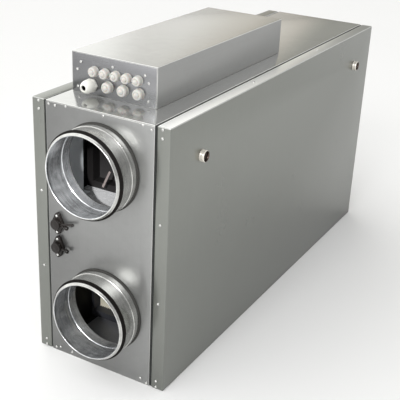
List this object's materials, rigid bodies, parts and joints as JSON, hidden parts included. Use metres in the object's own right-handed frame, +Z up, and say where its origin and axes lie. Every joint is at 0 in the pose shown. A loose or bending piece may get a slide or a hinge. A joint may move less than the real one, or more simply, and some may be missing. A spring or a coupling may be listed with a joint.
{
  "type": "air handling unit",
  "caption": "Galvanised air handling unit with round duct spigots at both ends, lift-off insulated side panels with quarter-turn locks, and a control box with cable glands on top.",
  "frame": {"origin": "middle of the base, at floor level", "axes": "+Z up, the end with the pressure tappings faces -Y, +X to the right seen from that end"},
  "size_m": [0.31, 1.082, 0.5945],
  "materials": {
    "galvanised_sheet": "bright galvanised sheet with a fine rolled grain",
    "panel_sheet": "satin coated sheet steel",
    "box_sheet": "bright galvanised sheet",
    "spigot_steel": "rolled bright galvanised tube",
    "black_rubber": "moulded lip seal",
    "gasket_foam": "closed-cell foam strip",
    "gland_plastic": "translucent pale plastic",
    "white_plastic": "satin white plastic",
    "black_plastic": "satin black plastic",
    "holder_black": "matte black",
    "filter_media": "pleated filter fleece",
    "lock_chrome": "polished",
    "lock_steel": "dark plated steel"
  },
  "bodies": {
    "cabinet": {"front_end_wall": "galvanised_sheet", "rear_end_wall": "galvanised_sheet", "top_panel": "galvanised_sheet", "bottom_panel": "galvanised_sheet", "partition": "galvanised_sheet", "left_service_panel": "panel_sheet", "right_service_panel": "panel_sheet", "left_panel_gasket": "gasket_foam", "right_panel_gasket": "gasket_foam", "front_upper_spigot": "spigot_steel", "front_lower_spigot": "spigot_steel", "rear_upper_spigot": "spigot_steel", "rear_lower_spigot": "spigot_steel", "front_upper_lip_seal": "black_rubber", "front_lower_lip_seal": "black_rubber", "rear_upper_lip_seal": "black_rubber", "rear_lower_lip_seal": "black_rubber", "front_upper_filter_holder": "holder_black", "front_lower_filter_holder": "holder_black", "rear_upper_filter_holder": "holder_black", "rear_lower_filter_holder": "holder_black", "front_upper_filter_media": "filter_media", "front_lower_filter_media": "filter_media", "rear_upper_filter_media": "filter_media", "rear_lower_filter_media": "filter_media", "left_front_lock_bezel": "lock_chrome", "left_rear_lock_bezel": "lock_chrome", "right_front_lock_bezel": "lock_chrome", "right_rear_lock_bezel": "lock_chrome", "control_box_cover": "box_sheet", "control_box_front_plate": "box_sheet", "control_box_rear_plate": "box_sheet", "control_box_base": "box_sheet", "upper_gland_1": "gland_plastic", "upper_gland_2": "gland_plastic", "upper_gland_3": "gland_plastic", "upper_gland_4": "gland_plastic", "upper_gland_5": "gland_plastic", "lower_gland_1": "gland_plastic", "lower_gland_2": "gland_plastic", "lower_gland_3": "gland_plastic", "open_cable_gland": "white_plastic", "upper_pressure_tapping": "black_plastic", "lower_pressure_tapping": "black_plastic"},
    "left_front_lock": {"left_front_lock_core": "lock_steel"},
    "left_rear_lock": {"left_rear_lock_core": "lock_steel"},
    "right_front_lock": {"right_front_lock_core": "lock_steel"},
    "right_rear_lock": {"right_rear_lock_core": "lock_steel"}
  },
  "joints": [
    {"name": "left_front_lock_turn", "type": "hinge", "parent": "cabinet", "child": "left_front_lock", "pos_m": [-0.145, -0.377, 0.441], "axis": [-1, 0, 0], "range_deg": [0, 90]},
    {"name": "left_rear_lock_turn", "type": "hinge", "parent": "cabinet", "child": "left_rear_lock", "pos_m": [-0.145, 0.377, 0.441], "axis": [-1, 0, 0], "range_deg": [0, 90]},
    {"name": "right_front_lock_turn", "type": "hinge", "parent": "cabinet", "child": "right_front_lock", "pos_m": [0.145, -0.377, 0.441], "axis": [1, 0, 0], "range_deg": [0, 90]},
    {"name": "right_rear_lock_turn", "type": "hinge", "parent": "cabinet", "child": "right_rear_lock", "pos_m": [0.145, 0.377, 0.441], "axis": [1, 0, 0], "range_deg": [0, 90]}
  ]
}
